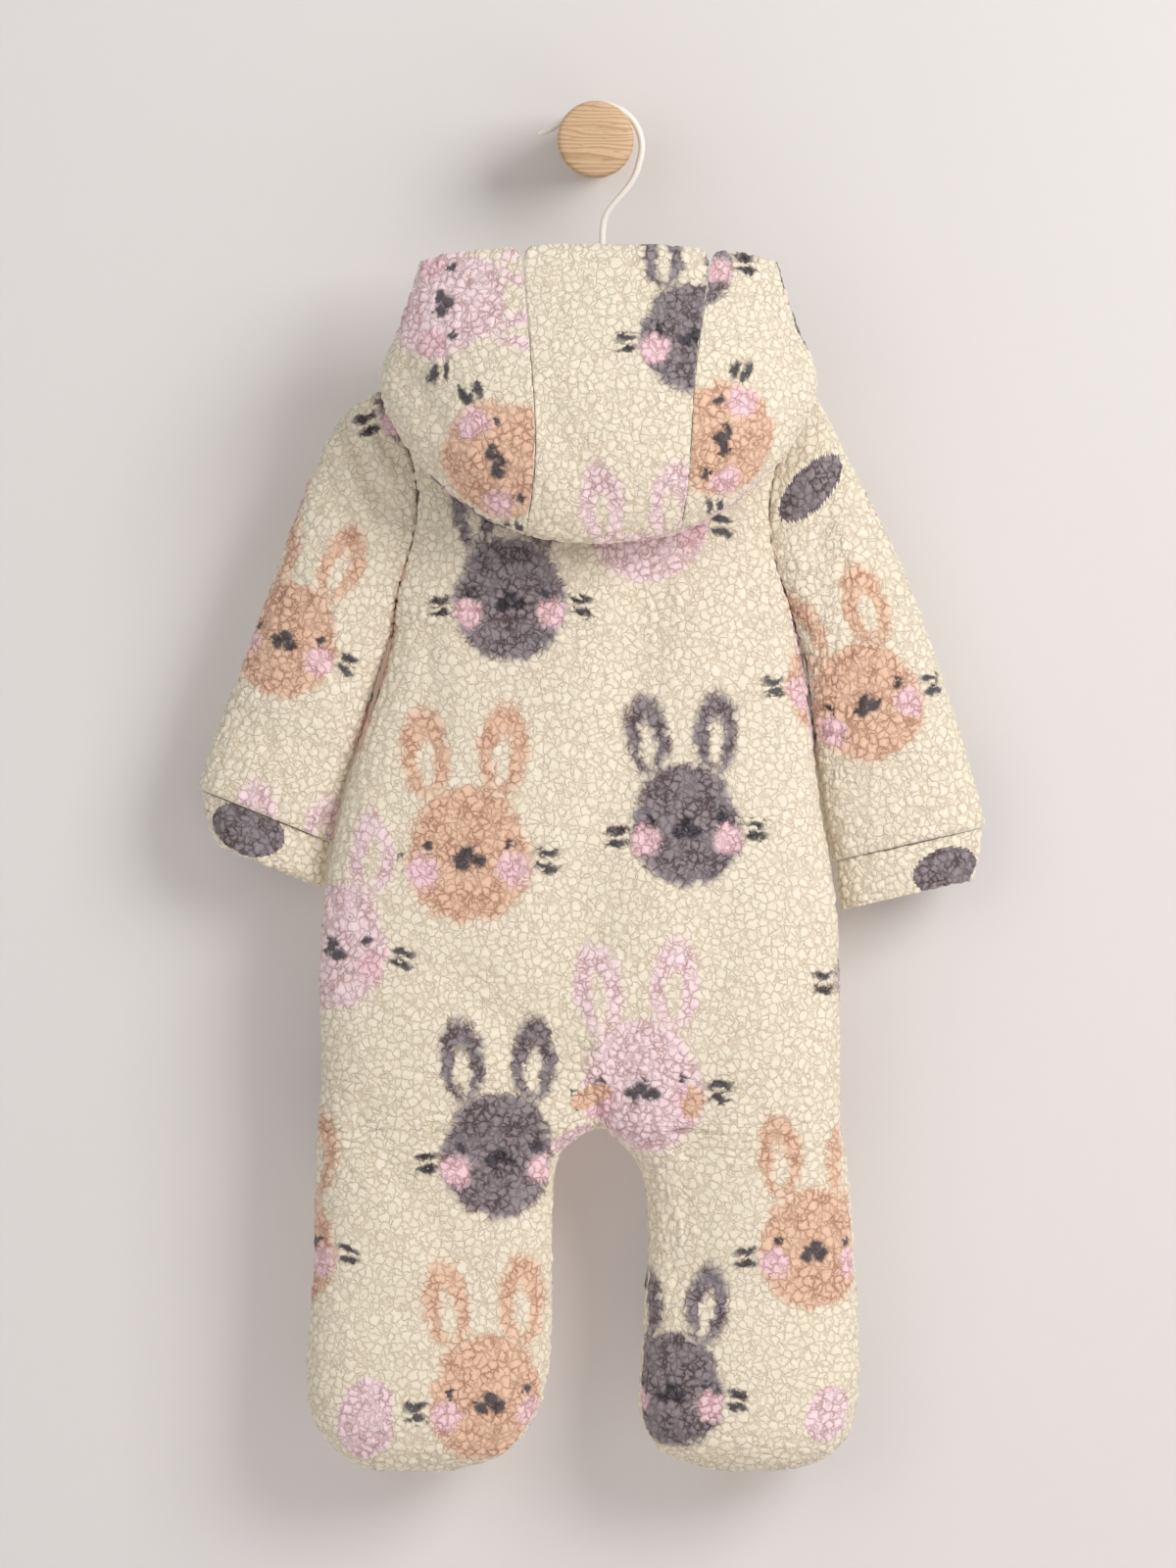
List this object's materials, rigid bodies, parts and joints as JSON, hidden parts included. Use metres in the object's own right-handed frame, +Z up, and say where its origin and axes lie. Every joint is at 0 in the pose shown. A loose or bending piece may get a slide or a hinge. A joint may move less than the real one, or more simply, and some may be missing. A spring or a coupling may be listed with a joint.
{
  "type": "hooded all-in-one on a hanger and wall peg",
  "caption": "Hooded, footed, zip-front all-in-one of deep-pile fleece for a baby, hung by its hanger from a round wooden wall peg.",
  "frame": {"origin": "centre of the peg's flat back face, where it meets the wall", "axes": "+Z up, +Y into the wall, -Y out to the room, where the garment's back faces; +X to the right as seen from the room"},
  "size_m": [0.4234, 0.1331, 0.7346],
  "materials": {
    "fleece": "deep curled pile",
    "white_paint": "satin white",
    "peg_wood": "satin, clear",
    "zip_tape": "woven tape",
    "zip_metal": "satin"
  },
  "bodies": {
    "root": {"back": "fleece", "front_left": "fleece", "front_right": "fleece", "sleeve_left": "fleece", "sleeve_right": "fleece", "cuff_left": "fleece", "cuff_right": "fleece", "hood_centre": "fleece", "hood_side_left": "fleece", "hood_side_right": "fleece", "zip": "zip_tape", "zip_slider": "zip_metal", "hanger_hook": "white_paint", "hanger_arms": "white_paint", "wall_peg": "peg_wood"},
    "pull": {"zip_pull": "zip_metal"}
  },
  "joints": [
    {"name": "pull_swing", "type": "hinge", "parent": "root", "child": "pull", "pos_m": [0.0021, -0.01874, -0.156], "axis": [1, 0, 0], "range_deg": [-8, 150]}
  ]
}
